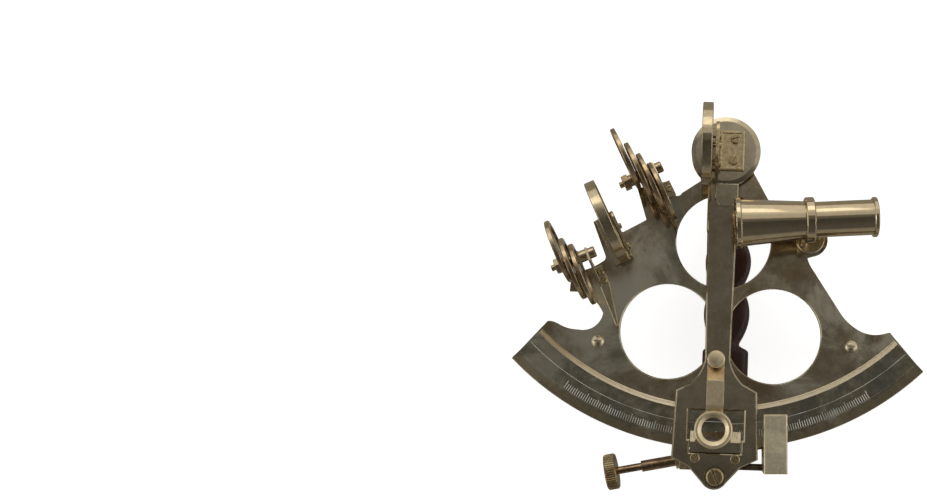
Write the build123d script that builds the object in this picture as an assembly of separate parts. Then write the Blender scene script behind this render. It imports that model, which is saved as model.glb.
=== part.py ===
"""Nautical sextant with a brass frame, lying face up on its three legs.

Millimetres.  The origin is on the index arm's pivot axis, at the plane the legs stand on.
+Z is the frame's normal, and the arm at rest runs along -Y to the middle of the limb.
"""
import os
from math import cos, radians, sin

from build123d import *

# Levels above the resting plane
leg_length = 45.0
frame_thick = 3.0
frame_top = leg_length + frame_thick
limb_thick = 1.6
arm_gap = 0.4
arm_bottom = frame_top + limb_thick + arm_gap
arm_thick = 2.8
arm_top = arm_bottom + arm_thick
optic_height = frame_top + 27.0

# Frame and limb
limb_outer = 154.0
limb_inner = 131.8
limb_half_angle = 44.3
frame_outer = 153.2
frame_corner_radius = 127.2
boss_radius = 15.6
hole_radius = 25.0
hole_centres = [(1.1, -44.9), (-26.7, -93.3), (28.8, -94.2)]
leg_spots = [(-63.0, -99.9), (69.7, -98.3)]
leg_radius = 5.0

# Index arm
shaft_radius = 5.0
running_gap = 0.05
disc_radius = 18.2
disc_offset = (0.8, 1.8)
arm_crown_radius = 17.2
arm_half_top = 8.1
arm_half_bottom = 6.6
window_half = 14.5
window_top = -133.8
window_step = -149.0
window_bottom = -155.8
vernier_half = 13.1

# Mirrors
cup_radius = 20.5
cup_depth = 5.3
cup_wall = 1.1
mirror_radius = cup_radius - cup_wall - 0.05
index_mirror_x = -8.95
horizon_mirror_spot = (-58.5, -40.4)
horizon_mirror_angle = 26.0

# Shades: each set is laid out along its pin, which overhangs the frame's edge
shade_radius = 16.3
shade_glass_radius = 13.2
shade_reach = 19.0
shade_thick = 2.3
shade_pitch = 3.2
shade_first = 6.8
shade_pin_height = 7.0
shade_pin_radius = 1.6
shade_pin_end = 19.2
foot_screw_in = 2.0
index_shades = {
    "spot": (-52.7, -18.0),
    "turn": 27.4,
    "leans": [22.0, -8.0, -30.0, -52.0],
    "foot_width": 5.4,
    "foot_length": 8.6,
    "foot_tip": 5.4,
    "foot_screws": [-11.0],
}
horizon_shades = {
    "spot": (-86.3, -62.7),
    "turn": 24.0,
    "leans": [10.0, -22.0, -36.0],
    "foot_width": 5.2,
    "foot_length": 33.0,
    "foot_tip": 1.4,
    "foot_screws": [-10.2, -15.0],
}

# Telescope, along its own axis from the objective end
telescope_spot = (6.4, -39.9)
telescope_turn = 4.5
flange_radius = 12.9
flange_length = 2.9
taper_start_radius = 11.8
taper_end_radius = 9.45
taper_length = 31.9
collar_radius = 11.4
collar_length = 4.6
draw_radius = 8.9
draw_end = 68.6
draw_rim_length = 2.2
draw_rim_radius = 10.05

# Tangent screw, along its own axis, under the window plate
tangent_spot = (-53.8, -168.2)
tangent_turn = 12.0
tangent_height = frame_top - 9.0
tangent_pitch = 0.75
knob_radius = 9.4
knob_thick = 6.1
knurl_count = 48
knob_shift = 3.0

# Clamp
clamp_left = 25.2
clamp_right = 37.4
clamp_inner = -134.9
clamp_outer = -165.5
clamp_lean = 1.9
clamp_jaw_top = frame_top + 6.0

bottom_centre = (Align.CENTER, Align.CENTER, Align.MIN)
disc_thick = 1.4
disc_top = arm_top + disc_thick
small_stem = 1.2
index_foot_spots = [(5.4, 8.0), (4.9, -3.2)]
index_adjuster_spots = [(7.5, disc_top + 7), (0.5, disc_top + 16), (-7.0, disc_top + 7)]
horizon_adjuster_spots = [(-1.0, 3.2), (-12.0, 3.2)]
telescope_foot_spots = [(43.2, -45.2), (50.4, -41.2)]

# Magnifier
magnifier_pivot = (-0.8, -107.5)
magnifier_ring = (-1.1, -143.5)
magnifier_outer = 9.7
magnifier_lens_radius = 6.1
magnifier_low = arm_top + 0.95
magnifier_thick = 1.2

# Handle
handle_x = 4.4
handle_half = 12.7
handle_low = 6.0
handle_high = 28.0
handle_start = -12.5
handle_end = -120.0
handle_posts_y = [-16.0, -112.0]
handle_blocks = (-35.0, -100.6)
handle_waists = [(8.2, -39.0), (8.2, -66.0), (7.4, -97.6)]
handle_bulges = [-52.5, -81.0]

# Bush, screws and spigots
bearing_neck = 9.0
screw_stem = 2.0
post_spigot = 2.5
post_sink = 12.0
disc_bevel = (0.5, 2.4)
disc_tongue_x = 1.9
vernier_screw_spots = [(-10.1, -158.6), (10.6, -158.6)]
block_screw_spot = (0.5, -168.0)

# Tangent screw's bearing, nut and the clamp's guide
bearing_start = 34.0
bearing_length = 11.0
tangent_radius = 2.2
sleeve_radius = 2.95
nut_start = 80.0
nut_length = 6.0
guide_height = frame_top - 9.0
guide_radius = 1.8
guide_spot = (7.9, -163.7)
guide_bar_y = -163.3
clamp_screw_spot = (31.3, -140.6)
clamp_screw_radius = 1.9
telescope_foot = 2.0
collar_start = flange_length + taper_length

# Places that several pieces share
index_mirror_place = Location((index_mirror_x, 0, optic_height), (0, -90, 0))
horizon_mirror_place = (
    Pos(*horizon_mirror_spot, optic_height) * Rot(0, 0, horizon_mirror_angle) * Rot(0, 90, 0)
)
tangent_place = Pos(*tangent_spot, tangent_height) * Rot(0, 0, tangent_turn) * Rot(0, 90, 0)
telescope_place = Pos(*telescope_spot, optic_height) * Rot(0, 0, telescope_turn) * Rot(0, 90, 0)


def polar(radius, angle):
    """A point at an angle from the arm's rest direction, -Y, turning towards +X."""
    return (radius * sin(radians(angle)), -radius * cos(radians(angle)))


def face_of(*edges):
    """A flat face bounded by edges given in order."""
    return Face(Wire(list(edges)))


def plate_of(face, thick):
    """A flat plate of a face's shape, rising from it along +Z."""
    return extrude(face, thick, dir=(0, 0, 1))


def top_edges(part):
    """The edges round a part's highest face."""
    return part.faces().sort_by(Axis.Z)[-1].edges()


def tube(outer, inner, length):
    """A tube standing on the XY plane."""
    align = (Align.CENTER, Align.CENTER, Align.MIN)
    return Cylinder(outer, length, align=align) - Cylinder(inner, length, align=align)


def rod(radius, length):
    """A solid rod standing on the XY plane."""
    return Cylinder(radius, length, align=(Align.CENTER, Align.CENTER, Align.MIN))


def slotted_screw(head_radius, head_height, stem_radius, stem_length, slot_width):
    """A cheese-head screw: the head stands on the XY plane and the stem goes down."""
    head = rod(head_radius, head_height)
    head = chamfer(head.edges().group_by(Axis.Z)[-1], head_height * 0.3)
    slot = Pos(0, 0, head_height) * Box(3 * head_radius, slot_width, head_height)
    stem = Pos(0, 0, -stem_length) * rod(stem_radius, stem_length)
    return head - slot + stem


def frame_outline():
    """The frame plate's outline, from the pivot boss down the left side and up the right."""
    left_end = polar(frame_outer, -limb_half_angle)
    right_end = polar(frame_outer, limb_half_angle)
    left_corner = polar(frame_corner_radius, -limb_half_angle - 0.6)
    right_corner = polar(frame_corner_radius, limb_half_angle + 0.6)
    strut_left = (-11.0, -12.4)
    strut_right = (15.2, -6.6)
    edges = [
        Line(strut_left, (-21.7, -19.8)),
        ThreePointArc((-21.7, -19.8), (-24.3, -21.5), (-26.6, -20.2)),
        Line((-26.6, -20.2), (-30.8, -14.1)),
        Line((-30.8, -14.1), (-45.4, -18.3)),
        Line((-45.4, -18.3), (-40.3, -34.0)),
        ThreePointArc((-40.3, -34.0), (-40.2, -34.8), (-40.8, -35.3)),
        Line((-40.8, -35.3), (-51.4, -41.4)),
        ThreePointArc((-51.4, -41.4), (-52.6, -41.6), (-53.4, -40.7)),
        Line((-53.4, -40.7), (-58.5, -30.6)),
        Line((-58.5, -30.6), (-68.0, -36.9)),
        Line((-68.0, -36.9), (-60.9, -54.6)),
        ThreePointArc((-60.9, -54.6), (-60.9, -56.3), (-62.2, -57.7)),
        ThreePointArc((-62.2, -57.7), (-69.9, -62.0), (-78.3, -64.0)),
        Line((-78.3, -64.0), (-78.9, -74.0)),
        Line((-78.9, -74.0), (-71.6, -74.0)),
        ThreePointArc((-71.6, -74.0), (-65.4, -78.6), (-60.9, -85.0)),
        ThreePointArc((-60.9, -85.0), (-64.4, -91.5), (-72.9, -94.1)),
        Spline([(-72.9, -94.1), (-81.5, -92.6), left_corner], tangents=[(-1, 0.05), (-1, -0.25)]),
        Line(left_corner, left_end),
        ThreePointArc(left_end, (0, -frame_outer), right_end),
        Line(right_end, right_corner),
        Spline([right_corner, (82.0, -91.7), (71.0, -88.1)], tangents=[(-1, -0.3), (-1, 0.7)]),
        ThreePointArc((71.0, -88.1), (67.4, -85.2), (64.6, -82.2)),
        Line((64.6, -82.2), (48.4, -58.2)),
        ThreePointArc((48.4, -58.2), (46.6, -55.2), (45.5, -52.2)),
        Line((45.5, -52.2), (49.0, -51.1)),
        ThreePointArc((49.0, -51.1), (56.0, -42.4), (47.5, -34.4)),
        ThreePointArc((47.5, -34.4), (38.0, -36.0), (30.6, -33.5)),
        Line((30.6, -33.5), strut_right),
        ThreePointArc(strut_right, (-3.0, boss_radius - 0.3), strut_left),
    ]
    return face_of(*edges)


def frame_plate():
    """The cast frame: one plate with three round holes, each bevelled on the front."""
    plate = plate_of(frame_outline(), frame_thick)
    for spot in hole_centres:
        hole = rod(hole_radius, frame_thick)
        rim = Cone(hole_radius, hole_radius + 0.5, 0.5, align=bottom_centre)
        plate -= Pos(*spot, 0) * (hole + Pos(0, 0, frame_thick - 0.5) * rim)
    plate -= rod(bearing_neck, frame_thick)
    for spot in leg_spots:
        plate -= Pos(*spot, 0) * rod(screw_stem, frame_thick)
    for y in handle_posts_y:
        plate -= Pos(handle_x, y, 0) * rod(post_spigot, frame_thick * 0.6)
    return Pos(0, 0, leg_length) * plate


def limb_scale():
    """The raised silvered arc: a double bevel on its inside and flat out to the rim."""
    steps = [
        (limb_inner, 0),
        (limb_inner + 1.15, 0.85),
        (limb_inner + 1.4, 0.75),
        (limb_inner + 2.5, limb_thick),
        (limb_outer - 0.4, limb_thick),
        (limb_outer, limb_thick - 0.4),
        (limb_outer, 0),
    ]
    section = make_face(Plane.XZ * Polyline(*steps, close=True))
    arc = revolve(section, Axis.Z, 2 * limb_half_angle)
    return Pos(0, 0, frame_top) * Rot(0, 0, -90 - limb_half_angle) * arc


def pivot_bearing():
    """A flanged bush through the frame; the arm's shaft turns in it."""
    flange = Pos(0, 0, frame_top) * rod(boss_radius, arm_bottom - 0.1 - frame_top)
    flange = chamfer(flange.edges().group_by(Axis.Z)[-1], 0.5)
    neck = Pos(0, 0, leg_length - 16) * rod(bearing_neck, frame_thick + 16)
    bore = Pos(0, 0, leg_length - 9) * rod(shaft_radius + running_gap, 20)
    cavity = Pos(0, 0, leg_length - 16) * rod(bearing_neck - 2.5, 7)
    return flange + neck - bore - cavity


def turned_leg(radius, length, foot_radius):
    """A turned pillar with a waist and a flat foot, standing on the XY plane."""
    profile = Plane.XZ * Polyline(
        (0, 0),
        (foot_radius - 0.6, 0),
        (foot_radius, 0.6),
        (foot_radius, 2.2),
        (radius * 0.72, 5.0),
        (radius * 0.72, length * 0.45),
        (radius * 0.95, length * 0.52),
        (radius, length - 3.0),
        (radius, length),
        (0, length),
        close=True,
    )
    return revolve(make_face(profile), Axis.Z)


def limb_legs():
    """The two legs behind the ends of the limb."""
    return [Pos(*spot, 0) * turned_leg(leg_radius, leg_length, leg_radius + 0.6) for spot in leg_spots]


def pivot_leg():
    """The third leg, which closes the bottom of the pivot bearing."""
    length = leg_length - 16
    plug = Pos(0, 0, length) * rod(bearing_neck - 2.5, 3.0)
    return turned_leg(bearing_neck - 1.5, length, leg_radius + 1.2) + plug


def frame_screws():
    """Domed slotted screws: two over the legs, two through the back of the handle."""
    screws = []
    for spot in leg_spots:
        stem = Pos(0, 0, -frame_thick) * rod(screw_stem - 0.02, frame_thick)
        screws.append(Pos(*spot, frame_top) * (domed_head(3.3, 1.5) + stem))
    for y in handle_posts_y:
        stem = Pos(0, 0, -post_sink) * rod(screw_stem - 0.02, post_sink)
        screw = domed_head(3.3, 1.5) + stem
        screws.append(Pos(handle_x, y, handle_low) * Rot(180, 0, 0) * screw)
    return screws


def domed_head(radius, height):
    """A low dome on the XY plane with a screwdriver slot."""
    ball_radius = (radius * radius + height * height) / (2 * height)
    dome = Pos(0, 0, height - ball_radius) * Sphere(ball_radius)
    dome &= rod(radius + 1, height + 1)
    return dome - Pos(0, 0, height) * Box(3 * radius, 0.8, 1.0)


def handle_outline():
    """The grip from behind: a square block at each end and two bulges between three waists."""
    upper, lower = handle_blocks
    right = [
        Line((handle_half, handle_start), (handle_half, upper)),
        Line((handle_half, upper), (handle_waists[0][0], handle_waists[0][1])),
    ]
    for above, bulge, below in zip(handle_waists, handle_bulges, handle_waists[1:]):
        right.append(ThreePointArc(above, (handle_half, bulge), below))
    right.append(Line(handle_waists[2], (handle_waists[2][0] + 0.8, lower + 0.6)))
    right.append(Line((handle_waists[2][0] + 0.8, lower + 0.6), (handle_half, lower)))
    right.append(Line((handle_half, lower), (handle_half, handle_end)))
    left = [edge.mirror(Plane.YZ) for edge in right]
    top = Line((-handle_half, handle_start), (handle_half, handle_start))
    bottom = Line((-handle_half, handle_end), (handle_half, handle_end))
    return Face(Wire([top, bottom] + right + left))


def handle_grip():
    """The wooden grip, rounded along its corners, with a screw hole at each end."""
    depth = handle_high - handle_low
    section = RectangleRounded(2 * handle_half, depth, 6.0)
    bar = extrude(Plane.XZ * Pos(0, depth / 2) * section, -handle_end)
    grip = plate_of(handle_outline(), depth) & bar
    grip = Pos(handle_x, 0, handle_low) * grip
    for y in handle_posts_y:
        grip -= Pos(handle_x, y, handle_low) * rod(screw_stem, handle_high - handle_low)
    return grip


def handle_posts():
    """Turned posts that hold the grip off the back of the frame."""
    height = leg_length - handle_high
    posts = []
    for y in handle_posts_y:
        post = rod(3.6, height) + rod(5.4, 1.8) + Pos(0, 0, height - 1.8) * rod(4.2, 1.8)
        post += Pos(0, 0, height) * rod(post_spigot - 0.02, 1.6)
        post += Pos(0, 0, -6) * rod(screw_stem - 0.02, 6)
        posts.append(Pos(handle_x, y, handle_high) * post)
    return posts


def mirror_cup():
    """A round shallow cup, open at +Z, centred on its own middle."""
    cup = Pos(0, 0, -cup_depth / 2) * rod(cup_radius, cup_depth)
    cup = chamfer(cup.edges(), 0.35)
    return cup - Pos(0, 0, -cup_depth / 2 + 1.4) * rod(cup_radius - cup_wall, cup_depth)


def mirror_glass():
    """The silvered disc that sits in a cup."""
    return Pos(0, 0, -cup_depth / 2 + 1.4) * rod(mirror_radius, 2.4)


def index_mirror_bracket():
    """An angle bracket: a flat foot on the pivot disc and an upright leg behind the cup."""
    foot = Pos(3.7, 1.9, disc_top) * Box(13.4, 21.0, 1.8, align=bottom_centre)
    foot = chamfer(top_edges(foot), 0.5)
    foot -= Pos(3.9, 1.9, disc_top + 1.3) * Box(10.6, 18.0, 1.0, align=bottom_centre)
    leg = Pos(-3.8, 1.0, disc_top) * Box(1.8, 24.0, 21.0, align=bottom_centre)
    leg = fillet(leg.edges().filter_by(Axis.X).group_by(Axis.Z)[-1], 6.0)
    for x, y in index_foot_spots:
        foot -= Pos(x, y, disc_top) * rod(small_stem, 2)
    for y, z in index_adjuster_spots:
        leg -= Pos(-6, y, z) * Rot(0, 90, 0) * rod(0.8, 6)
    return foot + leg


def adjusting_screws(depth, spots):
    """Small screws that push on the back of a cup, along +X, at (y, z) spots."""
    screws = []
    for y, z in spots:
        screw = slotted_screw(1.5, 1.3, 0.8, depth, 0.45)
        screws.append(Pos(0, y, z) * Rot(0, 90, 0) * screw)
    return screws


def index_mirror_adjusters():
    """Three screws through the index bracket's leg."""
    gap = 4.7 - (-index_mirror_x - cup_depth / 2)
    return [Pos(-2.9, 0, 0) * screw for screw in adjusting_screws(1.8 - gap, index_adjuster_spots)]


def pivot_disc():
    """The thick round plate over the pivot, with a short tongue down the arm."""
    disc = rod(disc_radius, disc_thick - disc_bevel[0])
    disc += Pos(0, 0, disc_thick - disc_bevel[0]) * Cone(
        disc_radius, disc_radius - disc_bevel[1], disc_bevel[0], align=bottom_centre
    )
    tongue = Box(12.0, 12, disc_thick - 0.3, align=bottom_centre)
    tongue = Pos(disc_tongue_x - disc_offset[0], -23, 0) * tongue
    tongue = fillet(tongue.edges().filter_by(Axis.Z).group_by(Axis.Y)[0], 4.5)
    tongue = chamfer(top_edges(tongue), 0.4)
    return Pos(*disc_offset, arm_top) * (disc + tongue)


def arm_outline():
    """The arm seen from the front: round top, tapering strip and the window plate."""
    start = (arm_half_top, -(arm_crown_radius**2 - arm_half_top**2) ** 0.5)
    waist = (arm_half_bottom, -107.5)
    flare = (13.5, -119.9)
    shoulder = (21.0, -123.9)
    corner = (22.4, -158.7)
    cheek = (13.6, -163.0)
    nose = (6.2, -171.2)
    right = [
        Line(start, waist),
        ThreePointArc(waist, (9.0, -114.2), flare),
        Line(flare, shoulder),
        Line(shoulder, corner),
        Line(corner, cheek),
        Line(cheek, nose),
    ]
    left = [edge.mirror(Plane.YZ) for edge in right]
    crown = ThreePointArc(start, (0, arm_crown_radius), (-start[0], start[1]))
    tip = ThreePointArc(nose, (0, -174.6), (-nose[0], nose[1]))
    return Face(Wire([crown] + right + left + [tip]))


def index_arm():
    """The index arm with its window, bevelled round the front."""
    arm = plate_of(arm_outline(), arm_thick)
    window = Box(2 * window_half, window_top - window_step, 3 * arm_thick)
    window = Pos(0.2, (window_top + window_step) / 2, 0) * window
    window += Pos(0.2, (window_top + window_bottom) / 2, 0) * Box(
        2 * vernier_half + 0.4, window_top - window_bottom, 3 * arm_thick
    )
    arm -= window
    arm = chamfer(top_edges(arm), 0.7)
    arm -= rod(shaft_radius, arm_thick)
    for x, y in vernier_screw_spots:
        arm -= Pos(x, y, 0) * rod(small_stem, arm_thick)
    arm -= Pos(*block_screw_spot, 0) * rod(1.9, arm_thick)
    arm -= Pos(*block_screw_spot, arm_thick - 1.0) * rod(5.6, 2)
    arm -= Pos(*magnifier_pivot, 0) * rod(1.9, arm_thick)
    return Pos(0, 0, arm_bottom) * arm


def pivot_shaft():
    """The arm's shaft, fixed in the arm and turning in the bush."""
    return Pos(0, 0, leg_length - 9) * rod(shaft_radius - 0.01, arm_top - leg_length + 9)


def pivot_retaining_screw():
    """The washer and screw that keep the shaft in the bush."""
    return Pos(0, 0, leg_length - 9) * Rot(180, 0, 0) * (rod(5.8, 1.2) + rod(2.8, 2.8))


def vernier_scale():
    """The vernier: a bevelled block in the window on a shelf below the arm."""
    section = Plane.YZ * Polyline(
        (-144.8, arm_bottom - 0.15),
        (-144.8, arm_bottom + 0.2),
        (-150.2, arm_top - 0.3),
        (-155.5, arm_top - 0.3),
        (-155.5, arm_bottom),
        (-163.0, arm_bottom),
        (-163.0, arm_bottom - 2.6),
        (-155.2, arm_bottom - 2.6),
        (-155.2, arm_bottom - 0.15),
        close=True,
    )
    block = extrude(make_face(section), vernier_half, both=True)
    block = Pos(0.2, 0, 0) * block
    for x, y in vernier_screw_spots:
        block -= Pos(x, y, arm_bottom - 3) * rod(small_stem, 4)
    return block


def arm_screws():
    """Small slotted screws: two in the index bracket's foot, two in the vernier's shelf."""
    screws = []
    for turn, (x, y) in zip((20, 65), index_foot_spots):
        screw = slotted_screw(2.5, 1.3, small_stem - 0.02, 1.0, 0.7)
        screws.append(Pos(x, y, disc_top + 1.3) * Rot(0, 0, turn) * screw)
    for turn, (x, y) in zip((60, 35), vernier_screw_spots):
        screw = slotted_screw(2.5, 1.3, small_stem - 0.02, arm_thick + 2.6, 0.7)
        screws.append(Pos(x, y, arm_top) * Rot(0, 0, turn) * screw)
    return screws


def tangent_block():
    """The block under the window plate's nose, with the tangent screw's barrel bearing."""
    corners = [(-15.5, -157.0), (15.5, -157.0), (13.0, -163.0)]
    corners += [(5.0, -171.0), (-5.0, -171.0), (-13.0, -163.0)]
    foot = plate_of(make_face(Polyline(*corners, close=True)), 3.5)
    foot -= Pos(0, -159.25, 0.9) * Box(31.2, 7.6, 2.7, align=bottom_centre)
    foot = Pos(0, 0, arm_bottom - 3.5) * foot
    web = Pos(-13.5, -162.2, 0) * Box(9.0, 6.0, arm_bottom - 3.5 - tangent_height, align=bottom_centre)
    web = Pos(0, 0, tangent_height) * web
    barrel = tangent_place * Pos(0, 0, bearing_start) * rod(4.5, bearing_length)
    bore = tangent_place * Pos(0, 0, bearing_start - 1) * rod(sleeve_radius + running_gap, bearing_length + 2)
    guide_top = arm_bottom - 3.4 - guide_height - 3
    guide = Pos(*guide_spot, guide_height) * Box(6.6, 6.4, 7.0)
    guide += Pos(*guide_spot, guide_height + 3) * Box(6.0, 6.4, guide_top, align=bottom_centre)
    guide -= Pos(guide_spot[0], guide_bar_y, guide_height) * Box(8.0, 4.6, 4.6)
    block = foot + web + barrel + guide - bore
    return block - Pos(*block_screw_spot, arm_bottom - 4) * rod(1.9, 5)


def tangent_block_screw():
    """The large slotted screw through the plate's nose."""
    screw = slotted_screw(4.6, 2.4, 1.88, arm_thick + 2.3, 1.0)
    return Pos(*block_screw_spot, arm_top - 1.0) * Rot(0, 0, 115) * screw


def tangent_screw():
    """Thin neck, thick sleeve through the bearing, then the threaded length to the nut."""
    neck = Pos(0, 0, knob_shift) * rod(2.0, 16 - knob_shift)
    sleeve = Pos(0, 0, 16) * rod(sleeve_radius, bearing_start + bearing_length - 15)
    thread = Pos(0, 0, bearing_start + bearing_length) * rod(tangent_radius, 48)
    return tangent_place * (neck + sleeve + thread)


def tangent_knob():
    """The knurled knob of the tangent screw."""
    knob = Pos(0, 0, -knob_thick) * rod(knob_radius, knob_thick)
    knob = chamfer(knob.edges().filter_by(GeomType.CIRCLE), 0.7)
    step = 360 / knurl_count
    groove = Pos(knob_radius + 0.25, 0, -knob_thick / 2) * Rot(0, 0, 45) * Box(0.8, 0.8, knob_thick)
    for number in range(knurl_count):
        knob -= Rot(0, 0, number * step) * groove
    dimple = Pos(0, 0, -knob_thick - 0.01) * rod(4.5, 0.8)
    return tangent_place * Pos(0, 0, knob_shift) * (knob - dimple)


def tangent_nut():
    """The square nut that floats in the clamp and runs along the tangent screw."""
    nut = Pos(0, 0, nut_start + nut_length / 2) * Box(9.0, 9.0, nut_length)
    nut -= Pos(0, 0, nut_start) * rod(tangent_radius + running_gap, nut_length)
    return tangent_place * nut


def clamp_block():
    """The clamp: a jaw over the limb, a back wall, and a jaw under it with the nut's pocket."""
    width = clamp_right - clamp_left
    middle = (clamp_left + clamp_right) / 2
    length = clamp_inner - clamp_outer
    top = Box(width, length, clamp_jaw_top - arm_bottom, align=bottom_centre)
    top = Pos(middle, (clamp_inner + clamp_outer) / 2, arm_bottom) * top
    top = chamfer(top_edges(top), 0.6)
    wall_inner = -158.0
    low = frame_top - 17.0
    wall_length = wall_inner - clamp_outer
    wall = Box(width, wall_length, arm_bottom - low, align=bottom_centre)
    wall = Pos(middle, (wall_inner + clamp_outer) / 2, low) * wall
    jaw_top = leg_length - 0.5
    jaw = Box(width, length - 4.0, jaw_top - low, align=bottom_centre)
    jaw = Pos(middle, (clamp_inner - 4.0 + clamp_outer) / 2, low) * jaw
    centre = Pos(middle, (clamp_inner + clamp_outer) / 2, 0)
    block = centre * Rot(0, 0, clamp_lean) * centre.inverse() * (top + wall + jaw)
    block -= tangent_place * Pos(0, 0, nut_start + nut_length / 2) * Box(11.2, 11.2, nut_length + 6.4)
    block -= tangent_place * Pos(0, 0, 60) * rod(tangent_radius + 0.9, 60)
    block -= Pos(*clamp_screw_spot, low) * rod(clamp_screw_radius + running_gap, jaw_top - low)
    block -= Pos(clamp_left - 1, guide_bar_y, guide_height) * Rot(0, 90, 0) * rod(guide_radius + 0.02, 9.0)
    return block


def clamp_guide_bar():
    """The dark bar that keeps the clamp square to the tangent block."""
    start = guide_spot[0] - 1.1
    return Pos(start, guide_bar_y, guide_height) * Rot(0, 90, 0) * rod(guide_radius, clamp_left + 8.0 - start)


def clamp_screw():
    """The thumb screw under the clamp, with its knurled head and its shoe end."""
    low = frame_top - 17.0
    stem = Pos(0, 0, low - 2) * rod(clamp_screw_radius, leg_length - 0.35 - low + 2)
    head = Pos(0, 0, low - 6.5) * rod(6.0, 5.0)
    head = chamfer(head.edges().filter_by(GeomType.CIRCLE), 0.6)
    groove = Pos(6.2, 0, low - 4.0) * Rot(0, 0, 45) * Box(0.8, 0.8, 5.0)
    for number in range(30):
        head -= Rot(0, 0, number * 12) * groove
    neck = Pos(0, 0, low - 1.6) * rod(3.0, 1.5)
    return Pos(*clamp_screw_spot, 0) * (stem + head + neck)


def magnifier_post():
    """The short stud on the arm that the magnifier turns on."""
    stud = Pos(0, 0, -arm_thick) * rod(1.88, arm_thick) + rod(4.2, 0.9) + rod(2.0, 3.4)
    return Pos(*magnifier_pivot, arm_top) * stud


def magnifier_arm():
    """The cranked strip of the magnifier and the ring at its end."""
    raised = 9.2
    down = 7.0
    x, y = magnifier_pivot
    ring_x, ring_y = magnifier_ring
    end = ring_y + magnifier_outer - 1.5
    lower = [(y - 4.9, 0), (y - 10.6, raised), (end + 4.4, raised), (end + 1.6, down), (end - 1.0, down)]
    section = [(y, 0)] + lower
    for along, height in lower[::-1]:
        section.append((along - 0.35 if height else along + 0.35, height + magnifier_thick))
    section += [(y, magnifier_thick)]
    strip = extrude(make_face(Plane.YZ * Polyline(*section, close=True)), 4.4, both=True)
    eye = Pos(0, y, 0) * rod(4.4, magnifier_thick)
    strip = Pos(x, 0, 0) * (strip + eye)
    ring = Pos(ring_x, ring_y, down - 1.4) * rod(magnifier_outer, 4.0)
    ring = chamfer(ring.edges().filter_by(GeomType.CIRCLE), 0.6)
    glass = magnifier_arm_bore()
    part = strip + ring - glass - Pos(x, y, -1) * rod(2.0 + running_gap, 4)
    return Pos(0, 0, magnifier_low) * part


def magnifier_arm_bore():
    """What is bored out of the ring: a through hole and a flared front."""
    ring_x, ring_y = magnifier_ring
    hole = Pos(ring_x, ring_y, 4.0) * rod(magnifier_lens_radius, 8)
    flare = Pos(ring_x, ring_y, 8.2) * Cone(magnifier_lens_radius, 8.0, 1.4, align=bottom_centre)
    return hole + flare


def magnifier_lens():
    """The magnifier's lens, domed on both sides."""
    ring_x, ring_y = magnifier_ring
    ball_radius = 40.0
    upper = Pos(0, 0, 1.4 - ball_radius) * Sphere(ball_radius)
    lower = Pos(0, 0, ball_radius - 1.4) * Sphere(ball_radius)
    lens = upper & lower & Pos(0, 0, -3) * rod(magnifier_lens_radius - 0.03, 6)
    return Pos(ring_x, ring_y, magnifier_low + 7.2) * lens


def magnifier_knob():
    """The domed nut that holds the magnifier down."""
    knob = rod(4.5, 4.0)
    knob = chamfer(knob.edges().group_by(Axis.Z)[-1], 0.4)
    knob += Pos(0, 0, 4.0) * domed(4.1, 0.5)
    knob -= rod(2.0, 2.2)
    return Pos(*magnifier_pivot, magnifier_low + magnifier_thick + 0.05) * knob


def domed(radius, height):
    """A plain dome standing on the XY plane."""
    ball_radius = (radius * radius + height * height) / (2 * height)
    return Pos(0, 0, height - ball_radius) * Sphere(ball_radius) & rod(radius + 1, height + 1)


def horizon_mirror_bracket():
    """A low angle bracket: foot under the cup, lip on its right, and a stop block."""
    lip = Pos(3.95, -6.1, 0) * Box(1.3, 26.0, 11.0, align=bottom_centre)
    lip = fillet(lip.edges().filter_by(Axis.X).group_by(Axis.Z)[-1], 4.0)
    for y, z in horizon_adjuster_spots:
        lip -= Pos(0, y, z) * Rot(0, 90, 0) * rod(0.8, 6)
    foot = Pos(-0.6, -6.1, 0) * Box(10.4, 26.0, 1.6, align=bottom_centre)
    pad = Pos(0, -4.0, 0) * Box(4.6, 12.0, 4.6, align=bottom_centre)
    stop = Pos(0.2, -17.4, 0) * Box(6.2, 4.6, 6.5, align=bottom_centre)
    part = lip + foot + pad + stop
    place = Pos(*horizon_mirror_spot, frame_top) * Rot(0, 0, horizon_mirror_angle)
    return place * part - horizon_mirror_place * Pos(0, 0, -5) * rod(cup_radius + 0.02, 8.2)


def horizon_mirror_adjusters():
    """Two screws through the horizon bracket's lip."""
    place = Pos(*horizon_mirror_spot, frame_top) * Rot(0, 0, horizon_mirror_angle)
    return [place * Pos(4.6, 0, 0) * screw for screw in adjusting_screws(1.2, horizon_adjuster_spots)]


def shade_frame():
    """One shade's brass ring with its ear, flat on XY: pin at the origin, ring up +Y."""
    ring = Pos(0, shade_reach) * Circle(shade_radius)
    neck = Pos(0, shade_reach / 4) * Rectangle(7.0, shade_reach / 2)
    ear = Circle(3.6)
    flat = ring + neck + ear - Pos(0, shade_reach) * Circle(shade_glass_radius)
    flat -= Circle(shade_pin_radius + running_gap)
    frame = Pos(0, 0, -shade_thick / 2) * extrude(flat, shade_thick)
    return chamfer(frame.edges().filter_by(GeomType.CIRCLE).group_by(SortBy.RADIUS)[-1], 0.3)


def shade_glass():
    """One shade's tinted disc."""
    return Pos(0, shade_reach, -0.5) * rod(shade_glass_radius - 0.03, 1.0)


def shade_set_place(shades):
    """Where a shade set's own axes lie: X along its pin, Y outwards over the edge."""
    return Pos(*shades["spot"], frame_top) * Rot(0, 0, shades["turn"])


def shade_place(shades, number):
    """Where one shade of a set hangs on the pin, leaning outwards by its angle."""
    across = shade_first + number * shade_pitch
    plane = Plane((across, 0, shade_pin_height), x_dir=(0, 1, 0), z_dir=(1, 0, 0))
    return shade_set_place(shades) * plane.location * Rot(0, 0, -shades["leans"][number])


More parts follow.
